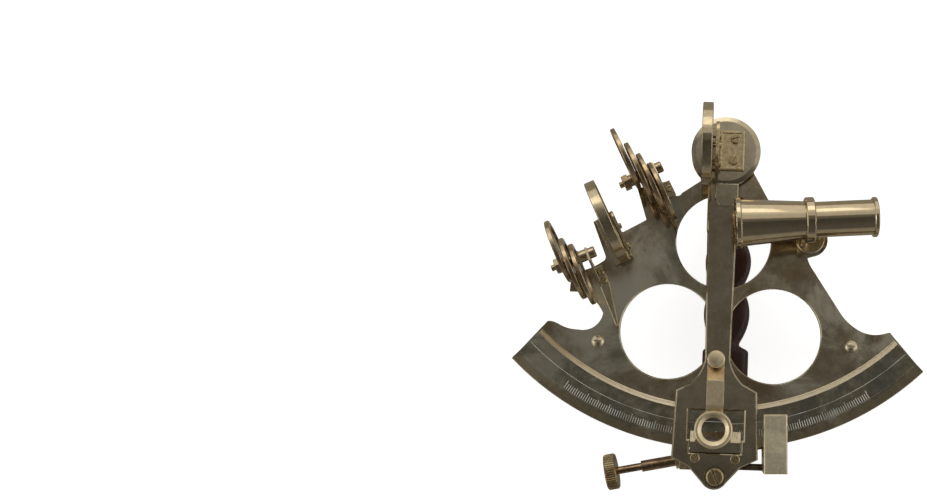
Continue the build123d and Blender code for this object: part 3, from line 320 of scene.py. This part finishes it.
# what each finish covers; the plates are polished but clouded, the telescope and the mirror cups the cleanest
brassFinishes = {
    "frameBrass": {
        "pieces": ["frame_plate", "limb_legs", "pivot_leg"],
        "look": {"base": (0.70, 0.60, 0.42), "deep": (0.48, 0.39, 0.25), "brown": (0.30, 0.20, 0.10),
                 "blue": (0.36, 0.37, 0.30), "brownCover": 0.6, "blueCover": 0.45, "brownAmount": 0.75,
                 "scale": 22.0, "roughLow": 0.05, "roughHigh": 0.26, "edgeRadius": 0.25 * mm,
                 "edgeAmount": 0.45, "bump": 0.03, "film": 0.8, "filmColour": (0.90, 0.86, 0.68),
                 "grimeShadeAmount": 0.5},
    },
    "limbBrass": {
        "pieces": ["limb_scale"],
        "look": {"base": (0.66, 0.58, 0.42), "deep": (0.40, 0.34, 0.23), "brown": (0.34, 0.24, 0.13),
                 "blue": (0.22, 0.25, 0.23), "brownCover": 0.5, "blueCover": 0.6, "blueAmount": 0.55,
                 "scale": 34.0, "roughLow": 0.07, "roughHigh": 0.3, "edgeRadius": 0.25 * mm,
                 "edgeAmount": 0.35, "bump": 0.03, "grimeShadeAmount": 0.0, "film": 0.55,
                 "filmColour": (0.74, 0.70, 0.55), "rimFrom": 148.6 * mm, "rimColour": (0.56, 0.45, 0.28),
                 # the band values place and colour the painted highlight on the limb's bevel
                 "bandInner": 131.4 * mm, "bandGroove": 132.5 * mm, "bandOuter": 134.3 * mm,
                 "bevelHighlightColour": (0.95, 0.84, 0.62)},
    },
    "armBrass": {
        "pieces": ["index_arm", "vernier_scale"],
        "look": {"base": (0.64, 0.54, 0.38), "deep": (0.50, 0.42, 0.28), "brown": (0.34, 0.25, 0.14),
                 "blue": (0.34, 0.35, 0.28), "brownCover": 0.4, "blueCover": 0.4, "scale": 36.0,
                 "roughLow": 0.07, "roughHigh": 0.2, "edgeRadius": 0.3 * mm, "edgeAmount": 0.5, "bump": 0.03},
    },
    "discBrass": {
        "pieces": ["pivot_disc", "pivot_bearing"],
        "look": {"base": (0.72, 0.61, 0.43), "deep": (0.58, 0.49, 0.33), "brownCover": 0.3, "roughLow": 0.1,
                 "roughHigh": 0.24, "edgeRadius": 0.25 * mm, "edgeAmount": 0.5, "bump": 0.03},
    },
    "solderedBrass": {
        "pieces": ["index_mirror_bracket", "tangent_block"],
        "look": {"base": (0.92, 0.76, 0.48), "deep": (0.58, 0.44, 0.24), "brown": (0.34, 0.23, 0.11),
                 "brownCover": 0.45, "blueCover": 0.1, "scale": 110.0, "roughLow": 0.26, "roughHigh": 0.5,
                 "bump": 0.2, "pitting": 0.6, "grimeShadeAmount": 0.6},
    },
    "telescopeBrass": {
        "pieces": ["telescope_tube", "telescope_collar", "eyepiece_tube"],
        "look": {"base": (0.74, 0.61, 0.40), "deep": (0.66, 0.53, 0.34), "brownCover": 0.15,
                 "blueCover": 0.05, "brownAmount": 0.4, "roughLow": 0.05, "roughHigh": 0.13, "scale": 45.0,
                 "bump": 0.015, "edgeRadius": 0.25 * mm, "edgeAmount": 0.5},
    },
    "cupBrass": {
        "pieces": ["index_mirror_cup", "horizon_mirror_cup", "telescope_bracket", "index_shade_bracket",
                   "horizon_shade_bracket", "horizon_mirror_bracket"],
        "look": {"base": (0.72, 0.60, 0.40), "deep": (0.58, 0.47, 0.29), "brown": (0.36, 0.25, 0.13),
                 "brownCover": 0.35, "blueCover": 0.1, "scale": 60.0, "roughLow": 0.12, "roughHigh": 0.28,
                 "edgeAmount": 0.55},
    },
    "magnifierBrass": {
        "pieces": ["magnifier_arm", "magnifier_knob", "magnifier_post"],
        "look": {"base": (0.96, 0.82, 0.56), "deep": (0.84, 0.68, 0.42), "brown": (0.64, 0.47, 0.24),
                 "brownCover": 0.3, "blueCover": 0.0, "scale": 90.0, "roughLow": 0.36, "roughHigh": 0.56,
                 "edgeAmount": 0.6},
    },
    "shadeRimBrass": {
        "pieces": ["shade_pins", "shade_nuts", "shade_washers"]
        + ["index_shade_%d_frame" % n for n in (1, 2, 3, 4)]
        + ["horizon_shade_%d_frame" % n for n in (1, 2, 3)],
        "look": {"base": (0.66, 0.51, 0.31), "deep": (0.50, 0.37, 0.21), "brown": (0.34, 0.21, 0.11),
                 "brownCover": 0.5, "blueCover": 0.05, "scale": 48.0, "roughLow": 0.14, "roughHigh": 0.3,
                 "edgeRadius": 0.3 * mm, "edgeAmount": 0.45, "grimeShadeAmount": 0.25, "bump": 0.03},
    },
    "screwBrass": {
        "pieces": ["bracket_screws", "arm_screws", "index_mirror_adjusters", "horizon_mirror_adjusters",
                   "handle_posts", "pivot_retaining_screw", "tangent_block_screw", "tangent_nut"],
        "look": {"base": (0.70, 0.56, 0.31), "deep": (0.48, 0.36, 0.18), "brown": (0.28, 0.18, 0.09),
                 "brownCover": 0.45, "blueCover": 0.0, "scale": 160.0, "roughLow": 0.22, "roughHigh": 0.42,
                 "grimeShadeAmount": 0.9},
    },
    "frameScrewBrass": {
        "pieces": ["frame_screws"],
        "look": {"base": (0.74, 0.66, 0.48), "deep": (0.52, 0.44, 0.29), "brown": (0.36, 0.28, 0.16),
                 "brownCover": 0.4, "blueCover": 0.2, "scale": 120.0, "roughLow": 0.28, "roughHigh": 0.5,
                 "grimeShadeAmount": 0.5, "edgeAmount": 0.4},
    },
    "knobBrass": {
        "pieces": ["tangent_knob", "clamp_screw"],
        "look": {"base": (0.54, 0.40, 0.20), "deep": (0.32, 0.22, 0.10), "brown": (0.20, 0.12, 0.05),
                 "brownCover": 0.5, "blueCover": 0.0, "scale": 110.0, "roughLow": 0.22, "roughHigh": 0.44,
                 "edgeAmount": 0.45, "edgeRadius": 0.25 * mm},
    },
    "coppery": {
        "pieces": ["tangent_screw", "pivot_shaft"],
        "look": {"base": (0.54, 0.38, 0.23), "deep": (0.30, 0.19, 0.10), "brown": (0.15, 0.08, 0.04),
                 "brownCover": 0.6, "blueCover": 0.0, "scale": 120.0, "roughLow": 0.14, "roughHigh": 0.34,
                 "edgeAmount": 0.4},
    },
    # the clamp's guide bar, coloured near black as painted shade where it lies under the plate
    "shadowDarkBar": {
        "pieces": ["clamp_guide_bar"],
        "look": {"base": (0.16, 0.12, 0.08), "deep": (0.07, 0.055, 0.04), "brown": (0.10, 0.05, 0.025),
                 "wornHighlight": (0.34, 0.26, 0.17), "brownCover": 0.6, "blueCover": 0.0, "scale": 140.0,
                 "roughLow": 0.2, "roughHigh": 0.45, "edgeAmount": 0.5},
    },
    "clampBrass": {
        "pieces": ["clamp_block"],
        "look": {"base": (0.94, 0.85, 0.62), "deep": (0.78, 0.69, 0.48), "brown": (0.50, 0.42, 0.25),
                 "blue": (0.48, 0.48, 0.38), "brownCover": 0.4, "blueCover": 0.3, "scale": 90.0,
                 "roughLow": 0.42, "roughHigh": 0.62, "bump": 0.06, "edgeRadius": 0.3 * mm,
                 "edgeAmount": 0.5},
    },
}
finishes = {}
for name, finish in brassFinishes.items():
    finishes[name] = brassFinish(name, **finish["look"])
    for piece in finish["pieces"]:
        layOn(piece, finishes[name])
print("brass finishes laid on")

# silvered glass in the two mirror cups, with the silvering gone grey at the rim
mirrorLook = {"silver": (0.88, 0.89, 0.88), "spoiled": (0.42, 0.40, 0.34),
              "pieces": ["index_mirror_glass", "horizon_mirror_glass"]}
material, tree, shader = newMaterial("silvering")
dust = useGroup(tree, glassDust, Scale=90.0, Amount=0.6)
blots = spread(tree, noise(tree, placed(tree), 160.0, 5.0, 0.6, 0.5), 0.56, 0.72)
silver = mixColour(tree, times(tree, blots, 0.6), (*mirrorLook["silver"], 1), (*mirrorLook["spoiled"], 1))
feed(tree, shader.inputs["Base Color"], silver)
feed(tree, shader.inputs["Roughness"], spread(tree, dust["Haze"], 0.0, 0.7, 0.02, 0.16))
shader.inputs["Metallic"].default_value = 1.0
for piece in mirrorLook["pieces"]:
    layOn(piece, material)


# clear lenses and tinted shades share one glass, denser from one shade to the next
def glassFinish(name, tint, dustAmount=0.4):
    material, tree, shader = newMaterial(name)
    dust = useGroup(tree, glassDust, Scale=220.0, Amount=dustAmount)
    colour = mixColour(tree, times(tree, dust["Haze"], 0.4), (*tint, 1),
                       (*[0.75 * c + 0.15 for c in tint], 1))
    feed(tree, shader.inputs["Base Color"], colour)
    feed(tree, shader.inputs["Roughness"],
         spread(tree, plus(tree, dust["Haze"], dust["Specks"]), 0.0, 1.0, 0.01, 0.25))
    shader.inputs["Transmission Weight"].default_value = 1.0
    shader.inputs["Metallic"].default_value = 0.0
    shader.inputs["IOR"].default_value = 1.5
    return material


glassTints = {
    "objective_lens": (0.93, 0.97, 0.95), "eyepiece_lens": (0.93, 0.97, 0.95),
    "magnifier_lens": (0.95, 0.96, 0.93),
    "index_shade_1_glass": (0.62, 0.30, 0.12), "index_shade_2_glass": (0.44, 0.16, 0.07),
    "index_shade_3_glass": (0.28, 0.08, 0.035), "index_shade_4_glass": (0.16, 0.045, 0.02),
    "horizon_shade_1_glass": (0.74, 0.72, 0.58), "horizon_shade_2_glass": (0.34, 0.28, 0.17),
    "horizon_shade_3_glass": (0.20, 0.15, 0.09),
}
for piece, tint in glassTints.items():
    layOn(piece, glassFinish(piece.replace("_glass", "") + "_tint", tint))
print("mirrors, lenses and shades glazed")

# the grip's varnished hardwood
woodLook = {"dark": (0.016, 0.006, 0.004), "red": (0.062, 0.018, 0.011), "light": (0.12, 0.036, 0.019),
            "worn": (0.17, 0.07, 0.035)}
gripWood, tree, shader = newMaterial("gripWood")
grain = useGroup(tree, woodFigure, Scale=1.0, Wander=0.5)
wearAndHighlight = useGroup(tree, edgeWearAndHighlight, Radius=0.8 * mm, Breakup=260.0, Strength=0.35)
colour = mixColour(tree, spread(tree, grain["Figure"], 0.32, 0.55), (*woodLook["dark"], 1),
                   (*woodLook["red"], 1))
colour = mixColour(tree, spread(tree, grain["Figure"], 0.52, 0.72, 0.0, 0.8), colour, (*woodLook["light"], 1))
colour = mixColour(tree, times(tree, grain["Pores"], 0.7), colour, (*woodLook["dark"], 1))
colour = mixColour(tree, wearAndHighlight["Mask"], colour, (*woodLook["worn"], 1))
feed(tree, shader.inputs["Base Color"], colour)
feed(tree, shader.inputs["Roughness"], spread(tree, grain["Figure"], 0.3, 0.7, 0.42, 0.3))
shader.inputs["Coat Weight"].default_value = 0.22
shader.inputs["Coat Roughness"].default_value = 0.2
shader.inputs["Specular IOR Level"].default_value = 0.35
bump = addNode(tree, "Bump")
bump.inputs["Strength"].default_value = 0.12
bump.inputs["Distance"].default_value = 0.2 * mm
feed(tree, bump.inputs["Height"], grain["Height"])
feed(tree, bump.inputs["Normal"], wearAndHighlight["Normal"])
feed(tree, shader.inputs["Normal"], bump.outputs[0])


def newPiece(name, mesh, body, material):
    piece = bpy.data.objects.new(name, mesh)
    scene.collection.objects.link(piece)
    mesh.materials.append(material)
    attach(piece, body)
    return piece


def skinRings(bm, rings):  # walls between neighbouring rings
    for first, second in zip(rings, rings[1:]):
        for k in range(len(first)):
            after = (k + 1) % len(first)
            bm.faces.new((first[k], first[after], second[after], second[k]))


def finishMesh(bm, name, smooth=False):
    bmesh.ops.recalc_face_normals(bm, faces=bm.faces)
    mesh = bpy.data.meshes.new(name)
    bm.to_mesh(mesh)
    bm.free()
    if smooth:
        mesh.shade_smooth()
    return mesh


# the grip, lofted from rounded sections: a square block at each end and two bulges between three waists
grip = {"x": 4.4, "low": 6.1, "high": 27.9, "start": -12.6, "end": -119.9, "half": 12.65, "around": 48,
        "step": 0.75, "waists": ((-39.0, 8.0), (-66.0, 8.0), (-97.6, 7.2)), "bulges": (-52.5, -81.0),
        "blockEnds": (-35.2, -100.5), "corner": 1.3, "squareness": 5.5, "rounding": 2.7, "flattening": 0.9}


def gripHalf(y):  # half the width at y
    (topY, topHalf), (midY, midHalf), (lowY, lowHalf) = grip["waists"]
    topBlock, lowBlock = grip["blockEnds"]
    if y > topBlock or y < lowBlock:
        return grip["half"]
    if y > topY:
        return grip["half"] + (topHalf - grip["half"]) * (topBlock - y) / (topBlock - topY)
    if y < lowY:  # a short step up to the lower block
        return lowHalf + (grip["half"] - lowHalf) * ((lowY - y) / (lowY - lowBlock)) ** 4
    if y > midY:
        bulge, above, below = grip["bulges"][0], (topY, topHalf), (midY, midHalf)
    else:
        bulge, above, below = grip["bulges"][1], (midY, midHalf), (lowY, lowHalf)
    edge, waist = above if y > bulge else below
    return waist + (grip["half"] - waist) * (1 - ((y - bulge) / (edge - bulge)) ** 2)


def buildGrip():
    count = round((grip["start"] - grip["end"]) / grip["step"])
    stations = [grip["start"] - (grip["start"] - grip["end"]) * i / count for i in range(count + 1)]
    halves = [gripHalf(y) for y in stations]
    for _ in range(3):  # softens the waists
        halves = [halves[0]] + [(a + 2 * b + c) / 4 for a, b,
                                c in zip(halves, halves[1:], halves[2:])] + [halves[-1]]
    middle = (grip["low"] + grip["high"]) / 2
    deep = (grip["high"] - grip["low"]) / 2
    bm = bmesh.new()
    rings = []
    for y, half in zip(stations, halves):
        ends = min(grip["start"] - y, y - grip["end"])
        inset = grip["corner"] * (1 - math.sqrt(max(0.0,
                                                    1 - (1 - min(ends,
                                                                 grip["corner"]) / grip["corner"]) ** 2)))
        pinch = (grip["half"] - half) / (grip["half"] - grip["waists"][2][1])
        power = 2 / (grip["squareness"] - grip["rounding"] * pinch)  # squarish blocks, rounder waists
        ring = []
        for k in range(grip["around"]):
            angle = 2 * math.pi * k / grip["around"]
            c, s = math.cos(angle), math.sin(angle)
            across = math.copysign(abs(c) ** power, c) * (half - inset)
            up = math.copysign(abs(s) ** power, s) * (deep - inset - grip["flattening"] * pinch)
            ring.append(bm.verts.new(((grip["x"] + across) * mm, y * mm, (middle + up) * mm)))
        rings.append(ring)
    skinRings(bm, rings)
    for ring, y in ((rings[0], stations[0]), (rings[-1], stations[-1])):
        hub = bm.verts.new((grip["x"] * mm, y * mm, middle * mm))
        for k in range(grip["around"]):
            bm.faces.new((ring[k], ring[(k + 1) % grip["around"]], hub))
    return finishMesh(bm, "turned_grip", smooth=True)


turnedGrip = newPiece("turned_grip", buildGrip(), "frame", gripWood)
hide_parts("handle_grip")
print("grip carved")


# the run of solder where the index mirror's bracket meets its foot: lumps along a wandering line
solder = {"x": -2.6, "z": 54.5, "from": -8.2, "to": 12.0, "rings": 56, "around": 14, "thick": 0.75,
          "swell": 0.42, "wander": 0.3,
          "lumps": ((1.9, 0.0, 0.5), (3.3, 1.0, 0.3), (0.8, 2.0, 0.45))}
bm = bmesh.new()
rings = []
for i in range(solder["rings"] + 1):
    t = i / solder["rings"]
    y = solder["from"] + (solder["to"] - solder["from"]) * t
    lump = sum(math.sin(y * pace + start) * size for pace, start, size in solder["lumps"])
    taper = math.sqrt(max(0.02, 1 - (2 * t - 1) ** 8))
    wide = (solder["thick"] + solder["swell"] * lump) * taper
    tall = (solder["thick"] * 1.1 + solder["swell"] * 0.8 * math.sin(y * 2.3 + 0.4)) * taper
    shift = solder["wander"] * math.sin(y * 1.3)
    ring = []
    for k in range(solder["around"]):
        angle = 2 * math.pi * k / solder["around"]
        across, up = solder["x"] + shift + wide * math.cos(angle), solder["z"] + tall * math.sin(angle)
        ring.append(bm.verts.new((across * mm, y * mm, up * mm)))
    rings.append(ring)
skinRings(bm, rings)
for ring in (rings[0], rings[-1]):
    bm.faces.new(ring)
mesh = finishMesh(bm, "mirror_bracket_solder", smooth=True)
newPiece("mirror_bracket_solder", mesh, "index_arm_body", finishes["solderedBrass"])
print("solder run laid")


# engraved strokes, each a thin raised bar without a floor
def strokeBar(bm, start, end, width, height, up=Vector((0, 0, 1))):
    start, end = Vector(start) * mm, Vector(end) * mm
    side = (end - start).cross(up).normalized() * (width / 2 * mm)
    lift = up * (height * mm)
    inset = side * 0.6  # the top is narrower than the foot
    low = [bm.verts.new(p) for p in (start - side, start + side, end + side, end - side)]
    high = [bm.verts.new(p + lift) for p in (start - inset, start + inset, end + inset, end - inset)]
    bm.faces.new(high)
    for k in range(4):
        bm.faces.new((low[k], low[(k + 1) % 4], high[(k + 1) % 4], high[k]))


def inkFinish(name, pale, dark, patchScale):  # engraving that is bright where clean and dark where filled
    material, tree, shader = newMaterial(name)
    fill = spread(tree, noise(tree, placed(tree), patchScale, 4.0, 0.6), 0.4, 0.62)
    marks = useGroup(tree, polishMarks, Fineness=1.5, Pitting=0.2)
    feed(tree, shader.inputs["Base Color"], mixColour(tree, fill, (*pale, 1), (*dark, 1)))
    feed(tree, shader.inputs["Roughness"], spread(tree, marks["Gloss Break"], 0.2, 0.8, 0.4, 0.65))
    shader.inputs["Metallic"].default_value = 0.2
    return material


limbMarks = {"centre": -90.0, "count": 130, "step": 0.5, "top": 49.6, "outer": 148.0, "short": 144.9,
             "five": 144.4, "ten": 143.7, "width": 0.34, "height": 0.05, "digitRadius": 150.3,
             "digitHeight": 1.7, "digitLift": 0.02}
paleInk = inkFinish("paleInk", (0.92, 0.91, 0.86), (0.48, 0.47, 0.43), 60.0)
darkInk = inkFinish("darkInk", (0.06, 0.055, 0.045), (0.02, 0.018, 0.015), 120.0)


def onLimb(radius, angle, z):
    turn = math.radians(angle)
    return radius * math.cos(turn), radius * math.sin(turn), z


bm = bmesh.new()
for i in range(limbMarks["count"] + 1):
    angle = limbMarks["centre"] + (i - limbMarks["count"] / 2) * limbMarks["step"]
    inner = limbMarks["ten"] if i % 10 == 0 else limbMarks["five"] if i % 5 == 0 else limbMarks["short"]
    start, end = onLimb(inner, angle, limbMarks["top"]), onLimb(limbMarks["outer"], angle, limbMarks["top"])
    strokeBar(bm, start, end, limbMarks["width"], limbMarks["height"])
newPiece("limb_graduations", finishMesh(bm, "limb_graduations"), "frame", paleInk)

# the two scribed arcs that bound the scale
scribedArcs = {"half": 44.0, "parts": 176, "top": 49.6, "height": 0.04,
               "lines": ((140.9, 0.22), (148.3, 0.05))}
bm = bmesh.new()
for radius, width in scribedArcs["lines"]:
    for i in range(scribedArcs["parts"]):
        angle = limbMarks["centre"] - scribedArcs["half"] + 2 * scribedArcs["half"] * i / scribedArcs["parts"]
        after = angle + 2 * scribedArcs["half"] / scribedArcs["parts"]
        start, end = onLimb(radius, angle, scribedArcs["top"]), onLimb(radius, after, scribedArcs["top"])
        strokeBar(bm, start, end, width, scribedArcs["height"])
newPiece("limb_scribed_arcs", finishMesh(bm, "limb_scribed_arcs"), "frame", paleInk)


# small figures every ten divisions, read from the rim
def figureMesh(text, height):
    curve = bpy.data.curves.new("figure", "FONT")
    curve.body = text
    curve.size = height * mm
    curve.align_x = "CENTER"
    curve.align_y = "CENTER"
    curve.extrude = 0.02 * mm
    curve.resolution_u = 2
    holder = bpy.data.objects.new("figure", curve)
    scene.collection.objects.link(holder)
    bpy.context.view_layer.update()
    mesh = bpy.data.meshes.new_from_object(holder.evaluated_get(bpy.context.evaluated_depsgraph_get()))
    bpy.data.objects.remove(holder)
    bpy.data.curves.remove(curve)
    return mesh


bm = bmesh.new()
for i in range(0, limbMarks["count"] + 1, 10):
    angle = limbMarks["centre"] - (i - limbMarks["count"] / 2) * limbMarks["step"]
    mesh = figureMesh(str(i), limbMarks["digitHeight"])
    spot = Vector(onLimb(limbMarks["digitRadius"], angle, limbMarks["top"] + limbMarks["digitLift"])) * mm
    mesh.transform(Matrix.Translation(spot) @ Matrix.Rotation(math.radians(angle + 90), 4, "Z"))
    bm.from_mesh(mesh)
    bpy.data.meshes.remove(mesh)
newPiece("limb_figures", finishMesh(bm, "limb_figures"), "frame", darkInk)

# the vernier's own strokes, down its sloping face
vernierMarks = {"count": 20, "pitch": 1.12, "x": 0.2, "top": (-144.9, 50.25), "foot": (-150.2, 52.51),
                "width": 0.16, "height": 0.04,
                "gap": 0.1, "long": 3.4, "short": 2.2, "fan": 0.99}
rise = (vernierMarks["foot"][1] - vernierMarks["top"][1]) / (vernierMarks["foot"][0] - vernierMarks["top"][0])
slopeUp = Vector((0, -rise, 1)).normalized()
bm = bmesh.new()
for i in range(vernierMarks["count"] + 1):
    x = vernierMarks["x"] + (i - vernierMarks["count"] / 2) * vernierMarks["pitch"]
    reach = vernierMarks["long"] if i % 5 == 0 else vernierMarks["short"]
    topY, topZ = vernierMarks["top"]
    start = (x, topY - vernierMarks["gap"], topZ - vernierMarks["gap"] * rise)
    end = (x * vernierMarks["fan"], topY - reach, topZ - reach * rise)
    strokeBar(bm, start, end, vernierMarks["width"], vernierMarks["height"], slopeUp)
newPiece("vernier_graduations", finishMesh(bm, "vernier_graduations"), "index_arm_body", darkInk)
print("scale, figures and vernier engraved")

# floor: plain and pale
floorLook = {"half": 6.0, "colour": (0.86, 0.86, 0.85), "glow": 0.78, "mirroredGlow": 0.06,
             "mirrored": (0.42, 0.40, 0.36)}
bm = bmesh.new()
bmesh.ops.create_grid(bm, x_segments=8, y_segments=8, size=floorLook["half"])
floor = bpy.data.objects.new("floor", finishMesh(bm, "floor"))
scene.collection.objects.link(floor)
material, tree, shader = newMaterial("paleFloor")
cloth = noise(tree, placed(tree), 3.0, 3.0)
shade = mixColour(tree, cloth, (*floorLook["colour"], 1), (*[c * 0.98 for c in floorLook["colour"]], 1))
ray = addNode(tree, "LightPath").outputs
# kept darker where the polished brass mirrors it
shade = mixColour(tree, ray["Is Glossy Ray"], shade, (*floorLook["mirrored"], 1))
feed(tree, shader.inputs["Base Color"], shade)
shader.inputs["Roughness"].default_value = 0.9
shader.inputs["Specular IOR Level"].default_value = 0.1
shader.inputs["Emission Color"].default_value = (1, 1, 1, 1)
feed(tree, shader.inputs["Emission Strength"],
     spread(tree, ray["Is Camera Ray"], 0.0, 1.0, floorLook["mirroredGlow"], floorLook["glow"]))
floor.data.materials.append(material)

# a light tent: bright behind the instrument and at the sides, dark overhead and in front
tent = {"overhead": 0.135, "frontal": 0.065, "behind": 0.38, "far": 0.24, "sides": 0.62, "front": 0.03,
        "frontLow": 0.16, "backdrop": 0.95, "tint": (1.0, 0.98, 0.94)}
world = bpy.data.worlds.new("lightTent")
scene.world = world
world.use_nodes = True
tree = world.node_tree
tree.nodes.clear()
way = addNode(tree, "SeparateXYZ")
feed(tree, way.inputs[0], addNode(tree, "TexCoord").outputs["Generated"])
behind = plus(tree, way.outputs["Y"], times(tree, way.outputs["X"], 0.5))
behind = spread(tree, behind, 0.2, 0.33, 0.0, tent["behind"])
behind = plus(tree, behind, spread(tree, way.outputs["Y"], 0.4, 0.7, 0.0, tent["far"]))
sides = spread(tree, calc(tree, "ABSOLUTE", way.outputs["X"]), 0.35, 0.85, 0.0, tent["sides"])
front = spread(tree, way.outputs["Y"], -0.35, -0.9, 0.0, tent["front"])
low = times(tree, spread(tree, way.outputs["Z"], 0.3, 0.02),
            spread(tree, way.outputs["Y"], -0.3, -0.8, 0.0, tent["frontLow"]))
front = plus(tree, front, low)
above = spread(tree, way.outputs["Y"], -0.14, 0.0, tent["frontal"], tent["overhead"])
glow = plus(tree, calc(tree, "MAXIMUM", calc(tree, "MAXIMUM", behind, sides), front), above)
backdrop = mixColour(tree, addNode(tree, "LightPath").outputs["Is Camera Ray"], glow,
                     (tent["backdrop"],) * 3 + (1,))
paint = addNode(tree, "Background")
feed(tree, paint.inputs["Color"], mixColour(tree, 1.0, backdrop, (*tent["tint"], 1), "MULTIPLY"))
feed(tree, addNode(tree, "OutputWorld").inputs["Surface"], paint.outputs[0])

softboxes = {
    "back": {"place": (-0.18, 0.62, 0.62), "aim": (0.0, -0.08, 0.05), "width": 0.7, "depth": 0.35,
             "glow": 0.75},
    "right": {"place": (0.75, -0.15, 0.42), "aim": (0.0, -0.08, 0.05), "width": 0.4, "depth": 0.4,
              "glow": 1.0},
    "left": {"place": (-0.75, -0.25, 0.40), "aim": (0.0, -0.08, 0.05), "width": 0.4, "depth": 0.4,
             "glow": 0.9},
}
for name, box in softboxes.items():
    lamp = bpy.data.lights.new("softbox_" + name, "AREA")
    lamp.shape = "RECTANGLE"
    lamp.size, lamp.size_y = box["width"], box["depth"]
    lamp.energy = box["glow"] * math.pi * box["width"] * box["depth"]
    lamp.color = (1.0, 0.97, 0.92)
    stand = bpy.data.objects.new("softbox_" + name, lamp)
    stand.location = box["place"]
    stand.rotation_euler = (Vector(box["aim"]) - Vector(box["place"])).to_track_quat("-Z", "Y").to_euler()
    stand.visible_camera = False
    scene.collection.objects.link(stand)

# camera almost straight above, a little towards the reader's side
cameraLook = {"place": (-4.4, -124.9, 556.6), "tilt": 3.64, "roll": 1.94, "lens": 37.75, "shiftX": -0.2638,
              "shiftY": 0.0895}
lens = bpy.data.cameras.new("camera")
lens.sensor_width = 36.0
lens.lens = cameraLook["lens"]
lens.shift_x, lens.shift_y = cameraLook["shiftX"], cameraLook["shiftY"]
lens.clip_start, lens.clip_end = 0.01, 50.0
camera = bpy.data.objects.new("camera", lens)
camera.location = Vector(cameraLook["place"]) * mm
camera.rotation_euler = (math.radians(cameraLook["tilt"]), 0, math.radians(cameraLook["roll"]))
scene.collection.objects.link(camera)
scene.camera = camera
scene.view_settings.view_transform = "Standard"
scene.view_settings.look = "None"
print("floor, tent, softboxes and camera placed")
